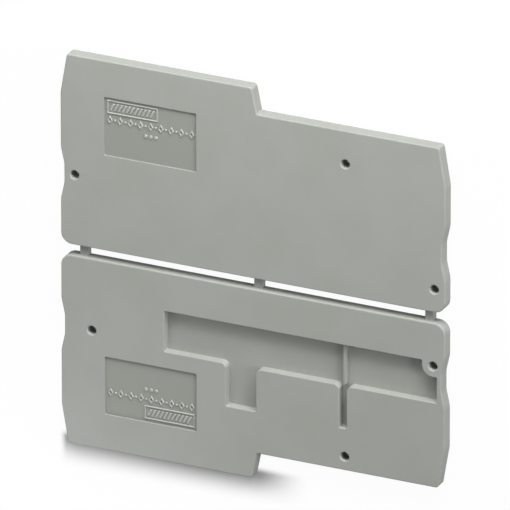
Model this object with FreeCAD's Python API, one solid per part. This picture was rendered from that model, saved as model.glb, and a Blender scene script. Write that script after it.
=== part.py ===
# End covers for a narrow terminal block: an upper and a lower cover plate,
# moulded as one piece and joined across a narrow gap by three break-off webs.
#
# Millimetres. The back lies flat on z = 0 and the front, with the holes, the
# pocket and the label fields, is at z = plate_thickness. X runs along the
# plates, and y = 0 is the middle of the gap. A place on a plate is given as
# (x, reach), where reach is the distance from the plate's gap edge outwards.
import FreeCAD, Part
import math
import os
from FreeCAD import Vector

# Plates
plate_length = 71.0
plate_thickness = 2.2
tall_reach = 34.9          # gap edge to the outer edge of the tall part
low_reach = 30.2           # gap edge to the outer edge of the low part
tall_length = 35.4         # left edge to the top of the step
step_lean = 0.95           # how far the step wall leans out towards its foot
gap_width = 2.0
gap_corner_radius = 2.0
outer_corner_radius = 0.6
step_foot_radius = 0.3
front_edge_round = 0.25

# Tapers at the outer corners
taper_run = 7.2
taper_inset = 1.2

# Shallow notches in the left and right edges
notch_depth = 0.65
notch_flat = 3.5
notch_ramp = 3.0
left_notch_reach = 12.95   # gap edge to the middle of the notch
right_notch_reach = 10.8
soft_bend_radius = 4.0     # bends of the notches and the tapers

# Break-off webs, flush with the back
web_width = 1.5
web_thickness = 1.25
web_insets = [("left", 3.9), ("left", 36.2), ("right", 3.3)]   # edge to the middle of each web
web_root = 0.4             # how far each web runs on into the plates

# Through holes for the locating pins of the next housing
hole_diameter = 1.6
hole_mouth_chamfer = 0.15
# each: inset from a side edge, then the distance from the gap or the low outer edge
upper_holes = [("left", 2.6, "gap", 12.9), ("right", 18.4, "outer", 6.1), ("right", 2.0, "gap", 4.2)]
lower_holes = [("left", 5.7, "gap", 13.2), ("right", 18.4, "outer", 2.55)]
boss_hole_inset = 2.2
boss_hole_reach = 7.9
boss_seat = 0.8            # middle of that hole out from the pocket's near wall

# Pocket in the lower plate
pocket_floor = 0.65
pocket_left_inset = 19.15
pocket_rim = 0.85          # wall left between the pocket and the right notch
pocket_height = 7.5
pocket_corner_radius = 0.25
shoulder_radius = 1.0
branch_depth = 7.9         # how far the leg and the slot run on below the pocket
leg_left_inset = 30.6
leg_width = 5.6
slot_width = 1.4
slot_centre_inset = 18.75
boss_wall = 1.25           # round the hole at the pocket's right end
rib_width = 0.4
rib_below_face = 0.7
pocket_edge_round = 0.15

# Label field, one in each plate
label_length = 17.1
label_left_inset = 8.1
label_near_reach = 17.55   # gap edge to the field
label_outer_margin = 6.6   # field to the tall outer edge
label_depth = 0.3
label_corner_radius = 0.3

# Worked out from the sizes above
left_x = -plate_length / 2
right_x = plate_length / 2
half_gap = gap_width / 2
pocket_left = left_x + pocket_left_inset
pocket_right = right_x - notch_depth - pocket_rim
pocket_near_reach = boss_hole_reach - boss_seat
pocket_far_reach = pocket_near_reach + pocket_height
branch_reach = pocket_far_reach + branch_depth
slot_x = right_x - slot_centre_inset
boss_x = right_x - boss_hole_inset
boss_radius = hole_diameter / 2 + boss_wall
rim_round = min(front_edge_round, 0.5 * pocket_rim)
mouth_round = min(pocket_edge_round, 0.3 * pocket_rim)
past_face = 1.0            # how far a cutting tool stands out of the faces


def rounded_wire(corners):
    """Closed wire through corners (x, y, radius), each turned by a tangent arc."""
    arcs = []
    for index, (x, y, radius) in enumerate(corners):
        corner = Vector(x, y, 0)
        back_x, back_y, _ = corners[index - 1]
        next_x, next_y, _ = corners[(index + 1) % len(corners)]
        to_back = (Vector(back_x, back_y, 0) - corner).normalize()
        to_next = (Vector(next_x, next_y, 0) - corner).normalize()
        half_angle = to_back.getAngle(to_next) / 2
        inwards = (to_back + to_next).normalize()
        run = radius / math.tan(half_angle)
        start = corner + to_back * run
        middle = corner + inwards * (radius / math.sin(half_angle) - radius)
        end = corner + to_next * run
        arcs.append((start, middle, end))
    edges = []
    for index, (start, middle, end) in enumerate(arcs):
        edges.append(Part.Arc(start, middle, end).toShape())
        next_start = arcs[(index + 1) % len(arcs)][0]
        if end.distanceToPoint(next_start) > 1e-6:
            edges.append(Part.LineSegment(end, next_start).toShape())
    return Part.Wire(edges)


def prism(corners, bottom, top):
    """Upright solid over a rounded outline."""
    face = Part.Face(rounded_wire(corners))
    face.translate(Vector(0, 0, bottom))
    return face.extrude(Vector(0, 0, top - bottom))


def front_edges(shape):
    """Edges that lie in the front face."""
    return [edge for edge in shape.Edges
            if abs(edge.BoundBox.ZMin - plate_thickness) < 1e-6
            and abs(edge.BoundBox.ZMax - plate_thickness) < 1e-6]


def notch(edge_x, inwards, middle_reach):
    """Outline corners of one notch, from the gap outwards."""
    flat = notch_flat / 2
    ramp = flat + notch_ramp
    deep_x = edge_x + inwards * notch_depth
    return [(edge_x, middle_reach - ramp, soft_bend_radius),
            (deep_x, middle_reach - flat, soft_bend_radius),
            (deep_x, middle_reach + flat, soft_bend_radius),
            (edge_x, middle_reach + ramp, soft_bend_radius)]


def plate_blank():
    """The stepped plate with its notches and tapers, its gap edge on y = 0."""
    step_top_x = left_x + tall_length
    step_foot_x = step_top_x + step_lean
    outline = [(left_x, 0, gap_corner_radius), (right_x, 0, gap_corner_radius)]
    outline += notch(right_x, -1, right_notch_reach)
    outline += [(right_x, low_reach - taper_run, soft_bend_radius),
                (right_x - taper_inset, low_reach, outer_corner_radius),
                (step_foot_x, low_reach, step_foot_radius),
                (step_top_x, tall_reach, outer_corner_radius),
                (left_x + taper_inset, tall_reach, outer_corner_radius),
                (left_x, tall_reach - taper_run, soft_bend_radius)]
    outline += reversed(notch(left_x, 1, left_notch_reach))
    blank = prism(outline, 0, plate_thickness)
    return blank.makeFillet(rim_round, front_edges(blank))


def label_field():
    """Cutting tool of the shallow label field."""
    x0 = left_x + label_left_inset
    x1 = x0 + label_length
    y0 = label_near_reach
    y1 = tall_reach - label_outer_margin
    corners = [(x, y, label_corner_radius) for x, y in ((x0, y0), (x1, y0), (x1, y1), (x0, y1))]
    return prism(corners, plate_thickness - label_depth, plate_thickness + past_face)


def pin_hole(x, reach):
    """Cutting tool of one through hole with its chamfered mouth."""
    radius = hole_diameter / 2
    bore = Part.makeCylinder(radius, plate_thickness + 2 * past_face,
                             Vector(x, reach, -past_face))
    mouth = Part.makeCone(radius, radius + hole_mouth_chamfer + past_face,
                          hole_mouth_chamfer + past_face,
                          Vector(x, reach, plate_thickness - hole_mouth_chamfer))
    return bore.fuse(mouth)


def in_from(side, inset):
    """X of a place that is set in from the left or right edge."""
    return left_x + inset if side == "left" else right_x - inset


def hole_place(side, inset, edge, distance):
    """Centre of a hole from its distances to two edges of the plate."""
    reach = distance if edge == "gap" else low_reach - distance
    return in_from(side, inset), reach


def on_boss(edge):
    """True for an upright edge where the end boss meets a wall of the pocket."""
    box = edge.BoundBox
    off_centre = math.hypot(box.XMin - boss_x, box.YMin - boss_hole_reach)
    return box.ZLength > plate_thickness / 2 and abs(off_centre - boss_radius) < 0.01


def pocket():
    """Cutting tool of the pocket: a long field with a leg and a slot below it,
    cut back round the boss at its right end."""
    near = pocket_near_reach
    far = pocket_far_reach
    leg_left = left_x + leg_left_inset
    leg_right = leg_left + leg_width
    slot_left = slot_x - slot_width / 2
    slot_right = slot_x + slot_width / 2
    outline = [(pocket_left, near, pocket_corner_radius),
               (pocket_right, near, pocket_corner_radius),
               (pocket_right, far, pocket_corner_radius),
               (slot_right, far, shoulder_radius),
               (slot_right, branch_reach, pocket_corner_radius),
               (slot_left, branch_reach, pocket_corner_radius),
               (slot_left, far, shoulder_radius),
               (leg_right, far, shoulder_radius),
               (leg_right, branch_reach, pocket_corner_radius),
               (leg_left, branch_reach, pocket_corner_radius),
               (leg_left, far, shoulder_radius),
               (pocket_left, far, pocket_corner_radius)]
    field = prism(outline, pocket_floor, plate_thickness + past_face)
    boss = Part.makeCylinder(boss_radius, plate_thickness + 2 * past_face,
                             Vector(boss_x, boss_hole_reach, 0))
    field = field.cut(boss)
    return field.makeFillet(pocket_corner_radius, [edge for edge in field.Edges if on_boss(edge)])


def pocket_rib():
    """Low rib across the pocket, in line with the slot, rooted in the floor."""
    root = pocket_floor / 2
    return Part.makeBox(rib_width, pocket_height + root, plate_thickness - rib_below_face - root,
                        Vector(slot_x - rib_width / 2, pocket_near_reach - root, root))


def upper_plate():
    """Plate above the gap, with its label field and three pin holes."""
    plate = plate_blank()
    tools = [label_field()]
    tools += [pin_hole(*hole_place(*hole)) for hole in upper_holes]
    return plate.cut(tools)


def on_pocket(edge):
    """True for an edge of the pocket's mouth, inside the plate's own rim."""
    box = edge.BoundBox
    slack = 0.01
    return (box.XMin > pocket_left - slack and box.XMax < pocket_right + slack
            and box.YMin > pocket_near_reach - slack and box.YMax < branch_reach + slack)


def lower_plate():
    """Plate below the gap: the same outline, with the pocket and its own holes."""
    plate = plate_blank().cut(pocket())
    mouth = [edge for edge in front_edges(plate) if on_pocket(edge)]
    plate = plate.makeFillet(mouth_round, mouth)
    plate = plate.fuse(pocket_rib())
    tools = [label_field(), pin_hole(boss_x, boss_hole_reach)]
    tools += [pin_hole(*hole_place(*hole)) for hole in lower_holes]
    return plate.cut(tools)


def webs():
    """Three small bars across the gap, flush with the back."""
    length = gap_width + 2 * web_root
    return [Part.makeBox(web_width, length, web_thickness,
                         Vector(in_from(*inset) - web_width / 2, -length / 2, 0))
            for inset in web_insets]


def end_cover_pair():
    """Both plates in place, joined by the webs."""
    upper = upper_plate()
    upper.translate(Vector(0, half_gap, 0))
    lower = lower_plate().mirror(Vector(0, 0, 0), Vector(0, 1, 0))
    lower.translate(Vector(0, -half_gap, 0))
    return upper.fuse([lower] + webs()).removeSplitter()


shape = end_cover_pair()
os.makedirs("parts", exist_ok=True)
shape.exportStep("parts/end_cover_pair.step")
box = shape.optimalBoundingBox(False)
print("end_cover_pair: solids", len(shape.Solids), "valid", shape.isValid())
print("size", round(box.XLength, 3), round(box.YLength, 3), round(box.ZLength, 3), "volume", round(shape.Volume, 1))
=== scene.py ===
"""Finish and studio for a pair of terminal block end covers, laid out as an add-on.

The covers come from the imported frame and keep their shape. This file gives them
their moulded plastic, raises the marks on their two label fields and sets up
the floor, the lamps and the camera. Lengths are metres, often given as a number of MM.
"""

import math

import bmesh
import bpy
from bpy.props import FloatProperty, FloatVectorProperty, IntProperty, PointerProperty
from mathutils import Matrix, Vector


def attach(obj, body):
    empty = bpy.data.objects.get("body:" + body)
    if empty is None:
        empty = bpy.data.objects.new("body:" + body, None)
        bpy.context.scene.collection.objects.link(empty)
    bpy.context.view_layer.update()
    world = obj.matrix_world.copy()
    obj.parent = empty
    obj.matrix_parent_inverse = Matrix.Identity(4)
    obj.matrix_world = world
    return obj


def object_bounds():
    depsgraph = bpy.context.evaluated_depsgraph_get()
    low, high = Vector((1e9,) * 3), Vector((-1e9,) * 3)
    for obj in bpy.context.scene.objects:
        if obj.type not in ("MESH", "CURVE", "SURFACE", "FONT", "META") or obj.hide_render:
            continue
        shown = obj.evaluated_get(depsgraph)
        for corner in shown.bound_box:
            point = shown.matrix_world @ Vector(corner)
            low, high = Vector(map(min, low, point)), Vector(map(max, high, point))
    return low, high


bl_info = {
    "name": "End Cover Finish",
    "version": (1, 0, 0),
    "blender": (4, 5, 0),
    "location": "3D View > Sidebar > End Cover",
    "description": "Moulded plastic, label field marks and studio for a pair of end covers",
    "category": "Object",
}

MM = 0.001
COVERS = "end_cover_pair"
POLYAMIDE_IOR = 1.53

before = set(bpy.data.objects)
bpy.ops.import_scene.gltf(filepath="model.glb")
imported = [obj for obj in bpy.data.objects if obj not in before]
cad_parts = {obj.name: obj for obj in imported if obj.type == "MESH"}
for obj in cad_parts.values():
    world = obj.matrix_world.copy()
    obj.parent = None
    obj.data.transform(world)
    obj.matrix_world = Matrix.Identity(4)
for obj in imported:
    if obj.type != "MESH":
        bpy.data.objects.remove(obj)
cad_low, cad_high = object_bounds()
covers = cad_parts[COVERS]
face_height = cad_high.z


def linear(hex_colour):
    """An sRGB hex colour as the linear red, green and blue that shaders take."""
    channels = [int(hex_colour[i:i + 2], 16) / 255 for i in (0, 2, 4)]
    return [c / 12.92 if c <= 0.04045 else ((c + 0.055) / 1.055) ** 2.4 for c in channels]


def with_alpha(colour):
    """A property's colour as a shader socket wants it."""
    return (*colour, 1.0)


def label_fields():
    """Low and high corner of the sunk floor of each label field, the upper plate's first."""
    shallowest, deepest = 0.1 * MM, 0.6 * MM
    level = 0.99
    fields = []
    for side in (1, -1):
        corners = [covers.data.vertices[i].co for floor in covers.data.polygons
                   if floor.normal.z > level and side * floor.center.y > 0
                   and shallowest < face_height - floor.center.z < deepest
                   for i in floor.vertices]
        low = Vector([min(c[k] for c in corners) for k in range(3)])
        high = Vector([max(c[k] for c in corners) for k in range(3)])
        fields.append((low, high))
    return fields


class PlasticProperties(bpy.types.PropertyGroup):
    """Look of the moulded plastic."""
    colour: FloatVectorProperty(name="Plastic", description="Colour of the textured faces",
                                subtype="COLOR", size=3, default=linear("A4A6A1"))
    cloud_colour: FloatVectorProperty(name="Clouding", description="Colour where the melt flowed together",
                                      subtype="COLOR", size=3, default=linear("A1A39D"))
    field_colour: FloatVectorProperty(name="Label floor",
                                      description="Colour of the smoother label field floors",
                                      subtype="COLOR", size=3, default=linear("969892"))
    # Painted highlight: the marks' colour is a little paler than the plastic, standing in for the light their
    # rounded tops catch.
    mark_painted_highlight_colour: FloatVectorProperty(name="Marks",
                                     description="Colour of the raised marks on the label fields",
                                     subtype="COLOR", size=3, default=linear("ACAEA8"))
    cloud_size: FloatProperty(name="Cloud size", description="Width of the faint clouds in the colour",
                              unit="LENGTH", default=9 * MM)
    grain_size: FloatProperty(name="Grain size", description="Width of one grain of the mould's texture",
                              unit="LENGTH", default=0.28 * MM)
    grain_depth: FloatProperty(name="Grain depth", description="Height of the mould's texture",
                               unit="LENGTH", default=0.004 * MM)
    roughness: FloatProperty(name="Roughness", description="How widely the faces spread a highlight",
                             subtype="FACTOR", min=0, max=1, default=0.7)
    reflection: FloatProperty(name="Reflection",
                              description="Strength of the reflection that the grain leaves",
                              subtype="FACTOR", min=0, max=1, default=0.3)


class MarkProperties(bpy.types.PropertyGroup):
    """Raised marks on the label fields, measured from the middle of a field."""
    relief: FloatProperty(name="Relief", description="Height of the marks over the field's floor",
                          unit="LENGTH", default=0.16 * MM)
    stroke: FloatProperty(name="Stroke", description="Width of a raised line at its foot",
                          unit="LENGTH", default=0.28 * MM)
    draft: FloatProperty(name="Draft", description="How far a line's side leans in towards its top",
                         unit="LENGTH", default=0.08 * MM)
    edge_round: FloatProperty(name="Edge round", description="Rounding of the marks' top edges",
                              unit="LENGTH", default=0.03 * MM)
    box_length: FloatProperty(name="Box length", description="Length of the framed box",
                              unit="LENGTH", default=9.4 * MM)
    box_height: FloatProperty(name="Box height", description="Height of the framed box",
                              unit="LENGTH", default=2.5 * MM)
    box_x: FloatProperty(name="Box offset", description="Middle of the box along the field",
                         unit="LENGTH", default=-3.4 * MM)
    box_y: FloatProperty(name="Box rise", description="Middle of the box up the field",
                         unit="LENGTH", default=3.6 * MM)
    hatch_strokes: IntProperty(name="Hatch strokes",
                               description="Slanted strokes in the box", min=1, default=11)
    hatch_stroke: FloatProperty(name="Hatch stroke", description="Width of a slanted stroke at its foot",
                                unit="LENGTH", default=0.5 * MM)
    row_length: FloatProperty(name="Row length", description="Length of the row of diamonds and dots",
                              unit="LENGTH", default=16.2 * MM)
    row_height: FloatProperty(name="Row height", description="Height of the diamonds",
                              unit="LENGTH", default=1.7 * MM)
    row_y: FloatProperty(name="Row rise", description="Middle of the row up the field",
                         unit="LENGTH", default=1.2 * MM)
    row_diamonds: IntProperty(name="Diamonds", description="Open diamonds in the row", min=2, default=9)
    row_dot: FloatProperty(name="Row dot", description="Width of a dot between two diamonds",
                           unit="LENGTH", default=0.45 * MM)
    dots_y: FloatProperty(name="Dots rise", description="Middle of the three lower dots up the field",
                          unit="LENGTH", default=-0.6 * MM)
    dot_width: FloatProperty(name="Dot width", description="Width of one of the lower dots",
                             unit="LENGTH", default=0.7 * MM)
    dot_pitch: FloatProperty(name="Dot pitch", description="Distance between the lower dots",
                             unit="LENGTH", default=0.95 * MM)


class StageProperties(bpy.types.PropertyGroup):
    """Camera, lamps and floor."""
    camera_side: FloatProperty(name="Side angle",
                               description="Camera to the side of the upright plates' face",
                               subtype="ANGLE", default=math.radians(24.7))
    camera_rise: FloatProperty(name="Rise angle",
                               description="Camera above the middle of the upright plates",
                               subtype="ANGLE", default=math.radians(24.1))
    camera_lens: FloatProperty(name="Lens",
                               description="Focal length, long enough to show hardly any perspective",
                               subtype="DISTANCE_CAMERA", default=1500)
    picture_width: FloatProperty(name="Picture width", description="Width of the picture at the covers",
                                 unit="LENGTH", default=85.58 * MM)
    aim: FloatVectorProperty(name="Aim", description="Point in the middle of the picture",
                             subtype="TRANSLATION", size=3, default=(0.53 * MM, 5.41 * MM, face_height))
    floor_colour: FloatVectorProperty(name="Floor", description="Colour of the floor",
                                      subtype="COLOR", size=3, default=linear("F5F5F5"))
    floor_bounce: FloatVectorProperty(name="Floor bounce",
                                      description="Colour of the light that the floor throws back",
                                      subtype="COLOR", size=3, default=linear("888888"))
    # Painted shadow: along the tall edge the floor's colour is darkened to this grey, on top of the real
    # shadow.
    painted_shadow_colour: FloatVectorProperty(name="Shadow paper",
                                       description="Colour of the floor where the shadow lies",
                                       subtype="COLOR", size=3, default=linear("BABABA"))
    floor_glow: FloatProperty(name="Floor glow",
                              description="Share of plain white in the floor as the camera sees it",
                              subtype="FACTOR", min=0, max=1, default=0.96)
    hidden_glow: FloatProperty(name="Hidden glow",
                               description="Share of plain white in the paper under the plates",
                               subtype="FACTOR", min=0, max=1, default=0.03)
    shadow_reach: FloatProperty(name="Shadow reach",
                                description="How far out from the tall edge the paper shows shadow",
                                unit="LENGTH", default=6 * MM)
    shadow_start: FloatProperty(name="Shadow start",
                                description="Distance over which that place begins at its left",
                                unit="LENGTH", default=1.5 * MM)
    shadow_end: FloatProperty(name="Shadow end",
                              description="Distance over which that place ends past the step",
                              unit="LENGTH", default=10 * MM)
    floor_width: FloatProperty(name="Floor width", description="Width of the floor",
                               unit="LENGTH", default=12)
    hidden_inset: FloatProperty(name="Hidden inset",
                                description="Edge of the covers to the paper that they hide",
                                unit="LENGTH", default=1.1 * MM)
    room_light: FloatProperty(name="Room light",
                              description="Even light from all sides", min=0, default=0.28)
    key_power: FloatProperty(name="Key power", description="Power of the wide lamp beyond the upper plate",
                             subtype="POWER", default=2.64)
    side_power: FloatProperty(name="Side power", description="Power of the lamp beyond the right ends",
                              subtype="POWER", default=1.05)
    near_power: FloatProperty(name="Near power",
                              description="Power of the small lamp near the upper plate's top",
                              subtype="POWER", default=0.159)
    corner_power: FloatProperty(name="Corner power",
                                description="Power of the small lamp off the lower left corner",
                                subtype="POWER", default=0.014)


def add_node(tree, kind, settings=None, inputs=None):
    """One node of a kind, with its settings, and its inputs given as values or as outputs of other nodes."""
    node = tree.nodes.new(kind)
    for name, value in (settings or {}).items():
        setattr(node, name, value)
    for name, value in (inputs or {}).items():
        if isinstance(value, bpy.types.NodeSocket):
            tree.links.new(value, node.inputs[name])
        else:
            node.inputs[name].default_value = value
    return node


def inside_field(tree, point, low, high):
    """Output that is 1 on the floor of one label field and 0 elsewhere."""
    middle = (low + high) / 2
    half = (high - low) / 2
    floor_slack = 0.05 * MM
    from_middle = add_node(tree, "ShaderNodeVectorMath", {"operation": "SUBTRACT"}, {0: point, 1: middle})
    away = add_node(tree, "ShaderNodeVectorMath", {"operation": "ABSOLUTE"}, {0: from_middle.outputs[0]})
    along = add_node(tree, "ShaderNodeSeparateXYZ", inputs={0: away.outputs[0]})
    mask = 1.0
    for axis, reach in enumerate((half.x, half.y, floor_slack)):
        near = add_node(tree, "ShaderNodeMath", {"operation": "LESS_THAN"},
                        {0: along.outputs[axis], 1: reach})
        both = add_node(tree, "ShaderNodeMath", {"operation": "MULTIPLY"}, {0: mask, 1: near.outputs[0]})
        mask = both.outputs[0]
    return mask


def moulded_polyamide(plastic):
    """Polyamide 6.6, injection moulded in a spark-eroded cavity.

    It is a satin, slightly warm grey with no clear reflections. The eroded cavity leaves an even fine grain
    that breaks up each highlight, and the melt leaves faint clouds in the colour. The label fields come from
    a smoother insert, so that their floors look a little darker and finer.
    """
    cloud_from, cloud_to = 0.4, 0.65
    gloss_from, gloss_to = 0.3, 0.7
    gloss_change = 0.04
    grain_left_in_fields = 0.35
    material = bpy.data.materials.new("moulded_grey_polyamide")
    material.use_nodes = True
    tree = material.node_tree
    tree.nodes.clear()
    point = add_node(tree, "ShaderNodeTexCoord").outputs["Object"]
    clouds = add_node(tree, "ShaderNodeTexNoise", inputs={
        "Vector": point, "Scale": 1 / plastic.cloud_size, "Detail": 3.0, "Roughness": 0.55})
    cloud_amount = add_node(tree, "ShaderNodeMapRange", inputs={
        "Value": clouds.outputs["Fac"], "From Min": cloud_from, "From Max": cloud_to})
    clouded = add_node(tree, "ShaderNodeMix", {"data_type": "RGBA"}, {
        "Factor": cloud_amount.outputs[0],
        6: with_alpha(plastic.colour), 7: with_alpha(plastic.cloud_colour)})
    masks = [inside_field(tree, point, low, high) for low, high in label_fields()]
    in_field = add_node(tree, "ShaderNodeMath", {"operation": "MAXIMUM"}, {0: masks[0], 1: masks[1]})
    colour = add_node(tree, "ShaderNodeMix", {"data_type": "RGBA"}, {
        "Factor": in_field.outputs[0], 6: clouded.outputs[2], 7: with_alpha(plastic.field_colour)})
    # The real grain is about 0.05 mm wide, too fine to show, so it is drawn about five times as coarse.
    grain = add_node(tree, "ShaderNodeTexNoise", inputs={
        "Vector": point, "Scale": 1 / plastic.grain_size, "Detail": 2.0, "Roughness": 0.6})
    grain_share = add_node(tree, "ShaderNodeMapRange", inputs={
        "Value": in_field.outputs[0], "To Min": 1.0, "To Max": grain_left_in_fields})
    grain_bump = add_node(tree, "ShaderNodeBump", inputs={
        "Strength": grain_share.outputs[0], "Distance": plastic.grain_depth, "Height": grain.outputs["Fac"]})
    gloss = add_node(tree, "ShaderNodeMapRange", inputs={
        "Value": clouds.outputs["Fac"], "From Min": gloss_from, "From Max": gloss_to,
        "To Min": plastic.roughness - gloss_change, "To Max": plastic.roughness + gloss_change})
    shader = add_node(tree, "ShaderNodeBsdfPrincipled", inputs={
        "Base Color": colour.outputs[2], "Roughness": gloss.outputs[0], "IOR": POLYAMIDE_IOR,
        "Specular IOR Level": plastic.reflection, "Normal": grain_bump.outputs[0]})
    add_node(tree, "ShaderNodeOutputMaterial", inputs={"Surface": shader.outputs[0]})
    return material


def mark_polyamide(plastic):
    """The same polyamide where a fine cutter went into the smooth insert.

    The raised marks have no grain and are a little smoother. Their colour is painted a little paler than
    the plastic, a painted highlight for the light that their small rounded tops catch, so that they look
    paler than the floor round them.
    """
    smoother = 0.1
    material = bpy.data.materials.new("cut_mark_polyamide_painted_highlight")
    material.use_nodes = True
    tree = material.node_tree
    tree.nodes.clear()
    # The base colour holds a painted highlight: it is paler than the plastic round the marks.
    shader = add_node(tree, "ShaderNodeBsdfPrincipled", inputs={
        "Base Color": with_alpha(plastic.mark_painted_highlight_colour), "Roughness": plastic.roughness - smoother,
        "IOR": POLYAMIDE_IOR, "Specular IOR Level": plastic.reflection})
    add_node(tree, "ShaderNodeOutputMaterial", inputs={"Surface": shader.outputs[0]})
    return material


def moved_in(loop, distance):
    """Corners of a convex loop with each side moved inwards by a distance."""
    moved = []
    for index, corner in enumerate(loop):
        before = (corner - loop[index - 1]).normalized()
        after = (loop[(index + 1) % len(loop)] - corner).normalized()
        lean = Vector((-before.y - after.y, before.x + after.x))
        lean.normalize()
        side = Vector((-before.y, before.x))
        moved.append(corner + lean * (distance / lean.dot(side)))
    return moved


def raise_mark(mesh, outer, inner, foot, top, draft):
    """A closed raised form over a convex anticlockwise loop, with a hole where an inner loop is given."""
    rings = []
    for loop, lean in ((outer, draft), (inner, -draft)):
        if loop:
            low = [mesh.verts.new((p.x, p.y, foot)) for p in loop]
            high = [mesh.verts.new((p.x, p.y, top)) for p in moved_in(loop, lean)]
            rings.append((low, high))
    (low, high), hole = rings[0], rings[1:]
    count = len(outer)
    for i in range(count):
        j = (i + 1) % count
        mesh.faces.new((low[i], low[j], high[j], high[i]))
        if hole:
            in_low, in_high = hole[0]
            mesh.faces.new((in_low[j], in_low[i], in_high[i], in_high[j]))
            mesh.faces.new((high[i], high[j], in_high[j], in_high[i]))
            mesh.faces.new((low[j], low[i], in_low[i], in_low[j]))
    if not hole:
        mesh.faces.new(high)
        mesh.faces.new(reversed(low))


def rectangle(x, y, length, height, slant=0.0):
    """Corners of an upright box about a point, its top pushed along by a slant."""
    return [Vector((x + sx * length / 2 + sy * slant / 2, y + sy * height / 2))
            for sx, sy in ((-1, -1), (1, -1), (1, 1), (-1, 1))]


def diamond(x, y, length, height):
    """Corners of a diamond about a point."""
    return [Vector((x + dx * length / 2, y + dy * height / 2))
            for dx, dy in ((0, -1), (1, 0), (0, 1), (-1, 0))]


def dot(x, y, width, corners=12):
    """Corners of a round dot about a point."""
    return [Vector((x + width / 2 * math.cos(2 * math.pi * i / corners),
                    y + width / 2 * math.sin(2 * math.pi * i / corners))) for i in range(corners)]


def mark_outlines(marks):
    """Outer and inner loop of each mark, from the middle of a field: a hatched box, a row and three dots."""
    stroke = marks.stroke
    box = rectangle(marks.box_x, marks.box_y, marks.box_length, marks.box_height)
    outlines = [(box, moved_in(box, stroke))]
    hatch_margin = 2 * stroke
    hatch_height = marks.box_height - 2 * hatch_margin
    slant = hatch_height / 2
    pitch = (marks.box_length - 2 * stroke) / (marks.hatch_strokes + 1)
    for step in range(marks.hatch_strokes):
        x = marks.box_x + (step - (marks.hatch_strokes - 1) / 2) * pitch
        outlines.append((rectangle(x, marks.box_y, marks.hatch_stroke, hatch_height, slant), None))
    diamond_share = 0.6
    diamond_length = diamond_share * marks.row_length / marks.row_diamonds
    pitch = (marks.row_length - diamond_length) / (marks.row_diamonds - 1)
    for step in range(marks.row_diamonds):
        x = (step - (marks.row_diamonds - 1) / 2) * pitch
        outer = diamond(x, marks.row_y, diamond_length, marks.row_height)
        outlines.append((outer, moved_in(outer, stroke)))
        if step:
            outlines.append((dot(x - pitch / 2, marks.row_y, marks.row_dot), None))
    for step in (-1, 0, 1):
        outlines.append((dot(step * marks.dot_pitch, marks.dots_y, marks.dot_width), None))
    return outlines


def field_marks(name, low, high, turned, marks, material):
    """The raised marks of one label field, turned by half a turn where asked."""
    middle = (low + high) / 2
    sunk = 0.02 * MM
    mesh = bmesh.new()
    for outer, inner in mark_outlines(marks):
        raise_mark(mesh, outer, inner, -sunk, marks.relief, marks.draft)
    turn = Matrix.Rotation(math.pi if turned else 0.0, 4, "Z")
    bmesh.ops.transform(mesh, matrix=Matrix.Translation(middle) @ turn, verts=mesh.verts)
    data = bpy.data.meshes.new(name)
    mesh.to_mesh(data)
    mesh.free()
    data.materials.append(material)
    piece = bpy.data.objects.new(name, data)
    bpy.context.scene.collection.objects.link(piece)
    rounding = piece.modifiers.new("edge_round", "BEVEL")
    rounding.width = marks.edge_round
    rounding.segments = 2
    rounding.limit_method = "ANGLE"
    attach(piece, "root")
    return piece


def seen_as_white(tree):
    """Output that is 1 where the camera looks at a surface, also by way of a reflection or through glass."""
    rays = add_node(tree, "ShaderNodeLightPath")
    straight = add_node(tree, "ShaderNodeMath", {"operation": "MAXIMUM"}, {
        0: rays.outputs["Is Camera Ray"], 1: rays.outputs["Is Glossy Ray"]})
    seen = add_node(tree, "ShaderNodeMath", {"operation": "MAXIMUM"}, {
        0: straight.outputs[0], 1: rays.outputs["Is Transmission Ray"]})
    return seen.outputs[0]


def shadow_zone(tree, stage):
    """Output that is 1 along the lower plate's tall edge, where the covers' shadow falls, and 0 elsewhere.

    Outwards it fades over the shadow's reach, and at its left and under the plate over the shadow's start.
    """
    place = add_node(tree, "ShaderNodeTexCoord").outputs["Object"]
    along = add_node(tree, "ShaderNodeSeparateXYZ", inputs={0: place})
    edge, left, start = cad_low.y, cad_low.x, stage.shadow_start
    zone = 1.0
    for axis, outside, inside in ((1, edge - stage.shadow_reach, edge), (1, edge + start, edge),
                                  (0, left - start, left), (0, stage.shadow_end, 0.0)):
        ramp = add_node(tree, "ShaderNodeMapRange", {"interpolation_type": "SMOOTHSTEP"}, {
            "Value": along.outputs[axis], "From Min": outside, "From Max": inside})
        both = add_node(tree, "ShaderNodeMath", {"operation": "MULTIPLY"}, {0: zone, 1: ramp.outputs[0]})
        zone = both.outputs[0]
    return zone


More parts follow.
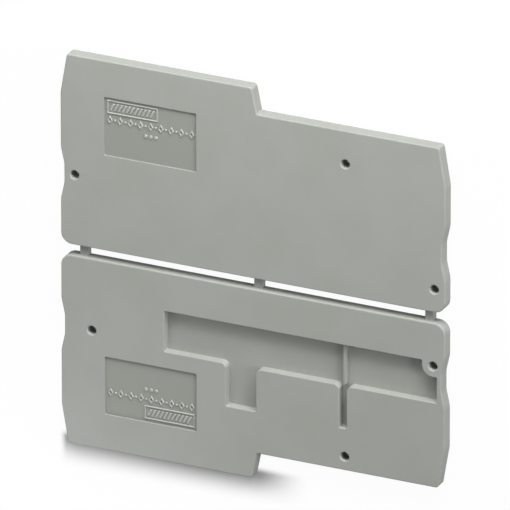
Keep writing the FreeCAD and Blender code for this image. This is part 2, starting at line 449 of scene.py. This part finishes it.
def white_paper(name, stage, glow):
    """Smooth white paper, matt, so that it takes soft shadows. The camera sees a share of it as plain white.

    Where the covers' shadow lies, that share ends so that the real shadow stays in sight, and the paper
    there is mixed towards a grey, a painted shadow that makes it darker still.
    """
    material = bpy.data.materials.new(name)
    material.use_nodes = True
    tree = material.node_tree
    tree.nodes.clear()
    seen = seen_as_white(tree)
    shadowed = shadow_zone(tree, stage)
    spared = add_node(tree, "ShaderNodeMapRange", inputs={"Value": shadowed, "To Min": glow, "To Max": 0.0})
    share = add_node(tree, "ShaderNodeMath", {"operation": "MULTIPLY"}, {0: seen, 1: spared.outputs[0]})
    # Painted shadow: inside the shadow zone the paper's colour is mixed towards the grey painted shadow
    # colour.
    paper_with_painted_shadow = add_node(tree, "ShaderNodeMix", {"data_type": "RGBA"}, {
        "Factor": shadowed, 6: with_alpha(stage.floor_colour), 7: with_alpha(stage.painted_shadow_colour)})
    tone = add_node(tree, "ShaderNodeMix", {"data_type": "RGBA"}, {
        "Factor": seen, 6: with_alpha(stage.floor_bounce), 7: paper_with_painted_shadow.outputs[2]})
    paper = add_node(tree, "ShaderNodeBsdfDiffuse", inputs={"Color": tone.outputs[2]})
    white = add_node(tree, "ShaderNodeEmission", inputs={"Strength": 1.0})
    mixed = add_node(tree, "ShaderNodeMixShader", inputs={
        0: share.outputs[0], 1: paper.outputs[0], 2: white.outputs[0]})
    add_node(tree, "ShaderNodeOutputMaterial", inputs={"Surface": mixed.outputs[0]})
    return material


def lay_floor(stage):
    """The floor. Under each plate, where only the pin holes show it, its paper has next to no plain white."""
    half = stage.floor_width / 2
    places = [v.co for v in covers.data.vertices]
    side = cad_high.x - stage.hidden_inset
    gap_edge = min(p.y for p in places if p.y > 0)
    low_edge = max(p.y for p in places if p.x > side / 2)
    near, far = gap_edge + stage.hidden_inset, low_edge - stage.hidden_inset
    cuts_x = (-half, -side, side, half)
    cuts_y = (-half, -far, -near, near, far, half)
    corners = [(x, y, 0) for y in cuts_y for x in cuts_x]
    columns = len(cuts_x)
    hidden_column, hidden_rows = 1, (1, 3)
    faces, papers = [], []
    for row in range(len(cuts_y) - 1):
        for column in range(columns - 1):
            first = row * columns + column
            faces.append((first, first + 1, first + columns + 1, first + columns))
            papers.append(1 if column == hidden_column and row in hidden_rows else 0)
    data = bpy.data.meshes.new("floor")
    data.from_pydata(corners, [], faces)
    data.polygons.foreach_set("material_index", papers)
    data.materials.append(white_paper("matt_white_paper", stage, stage.floor_glow))
    data.materials.append(white_paper("shaded_white_paper", stage, stage.hidden_glow))
    floor = bpy.data.objects.new("floor", data)
    bpy.context.scene.collection.objects.link(floor)


def light_room(stage):
    """Even pale light from all round, and plain white where the camera looks past the floor."""
    world = bpy.data.worlds.new("room")
    world.use_nodes = True
    tree = world.node_tree
    tree.nodes.clear()
    seen = seen_as_white(tree)
    strength = add_node(tree, "ShaderNodeMapRange", inputs={
        "Value": seen, "To Min": stage.room_light, "To Max": 1.0})
    room = add_node(tree, "ShaderNodeBackground", inputs={"Strength": strength.outputs[0]})
    add_node(tree, "ShaderNodeOutputWorld", inputs={"Surface": room.outputs[0]})
    bpy.context.scene.world = world


def hang_lamp(name, power, bearing, rise, distance, width, height):
    """A flat soft lamp that faces the middle of the covers and is hidden from the camera.

    Its bearing is measured in degrees from +Y towards +X, and its rise in degrees above the floor.
    """
    lamp = bpy.data.lights.new(name, "AREA")
    lamp.shape = "RECTANGLE"
    lamp.size = width
    lamp.size_y = height
    lamp.energy = power
    hung = bpy.data.objects.new(name, lamp)
    around, up = math.radians(bearing), math.radians(rise)
    towards = Vector((math.cos(up) * math.sin(around), math.cos(up) * math.cos(around), math.sin(up)))
    hung.location = towards * distance
    hung.rotation_euler = towards.to_track_quat("Z", "Y").to_euler()
    hung.visible_camera = False
    bpy.context.scene.collection.objects.link(hung)


def set_camera(stage):
    """A long lens that looks down on the covers, turned so that the upper plate is at the picture's top."""
    nearest_share, farthest_share = 0.01, 4
    side, rise = stage.camera_side, stage.camera_rise
    back = Vector((math.sin(side) * math.cos(rise), math.sin(rise), math.cos(side) * math.cos(rise)))
    up = Vector((-math.sin(side) * math.sin(rise), math.cos(rise), -math.cos(side) * math.sin(rise)))
    lens = bpy.data.cameras.new("camera")
    lens.lens = stage.camera_lens
    distance = stage.picture_width * lens.lens / lens.sensor_width
    lens.clip_start = distance * nearest_share
    lens.clip_end = distance * farthest_share
    camera = bpy.data.objects.new("camera", lens)
    camera.rotation_euler = Matrix((up.cross(back), up, back)).transposed().to_euler()
    camera.location = Vector(stage.aim) + back * distance
    bpy.context.scene.collection.objects.link(camera)
    bpy.context.scene.camera = camera


class ENDCOVER_OT_finish_covers(bpy.types.Operator):
    """Gives both covers their moulded plastic."""
    bl_idname = "end_cover.finish_covers"
    bl_label = "Finish Covers"

    def execute(self, context):
        covers.data.materials.clear()
        covers.data.materials.append(moulded_polyamide(context.scene.end_cover_plastic))
        return {"FINISHED"}


class ENDCOVER_OT_raise_marks(bpy.types.Operator):
    """Raises the plain marks on the two label fields."""
    bl_idname = "end_cover.raise_marks"
    bl_label = "Raise Field Marks"

    def execute(self, context):
        marks = context.scene.end_cover_marks
        material = mark_polyamide(context.scene.end_cover_plastic)
        upper, lower = label_fields()
        field_marks("upper_field_marks", *upper, False, marks, material)
        field_marks("lower_field_marks", *lower, True, marks, material)
        return {"FINISHED"}


class ENDCOVER_OT_set_stage(bpy.types.Operator):
    """Sets up the floor, the room's light, the lamps and the camera."""
    bl_idname = "end_cover.set_stage"
    bl_label = "Set Stage"

    def execute(self, context):
        stage = context.scene.end_cover_stage
        lay_floor(stage)
        light_room(stage)
        hang_lamp("key_lamp", stage.key_power, bearing=18, rise=19,
                  distance=0.5, width=0.45, height=0.18)
        hang_lamp("side_lamp", stage.side_power, bearing=80, rise=20,
                  distance=0.5, width=0.2, height=0.2)
        hang_lamp("near_lamp", stage.near_power, bearing=-15, rise=30,
                  distance=0.2, width=0.09, height=0.09)
        hang_lamp("corner_lamp", stage.corner_power, bearing=215, rise=19,
                  distance=0.09, width=0.06, height=0.03)
        set_camera(stage)
        context.scene.view_settings.view_transform = "Standard"
        return {"FINISHED"}


class ENDCOVER_PT_panel(bpy.types.Panel):
    """Buttons and sizes for the covers."""
    bl_idname = "ENDCOVER_PT_panel"
    bl_label = "End Cover"
    bl_space_type = "VIEW_3D"
    bl_region_type = "UI"
    bl_category = "End Cover"

    def draw(self, context):
        for operator in OPERATORS:
            self.layout.operator(operator.bl_idname)
        for name in PROPERTY_GROUPS:
            group = getattr(context.scene, name)
            column = self.layout.column(align=True)
            for key in group.__annotations__:
                column.prop(group, key)


PROPERTY_GROUPS = {
    "end_cover_plastic": PlasticProperties,
    "end_cover_marks": MarkProperties,
    "end_cover_stage": StageProperties,
}
OPERATORS = (ENDCOVER_OT_finish_covers, ENDCOVER_OT_raise_marks, ENDCOVER_OT_set_stage)
CLASSES = (*PROPERTY_GROUPS.values(), *OPERATORS, ENDCOVER_PT_panel)


def register():
    for item in CLASSES:
        bpy.utils.register_class(item)
    for name, group in PROPERTY_GROUPS.items():
        setattr(bpy.types.Scene, name, PointerProperty(type=group))


def unregister():
    for name in PROPERTY_GROUPS:
        delattr(bpy.types.Scene, name)
    for item in reversed(CLASSES):
        bpy.utils.unregister_class(item)


def main():
    """Makes the whole picture."""
    register()
    bpy.ops.end_cover.finish_covers()
    bpy.ops.end_cover.raise_marks()
    bpy.ops.end_cover.set_stage()


if __name__ == "__main__":
    main()
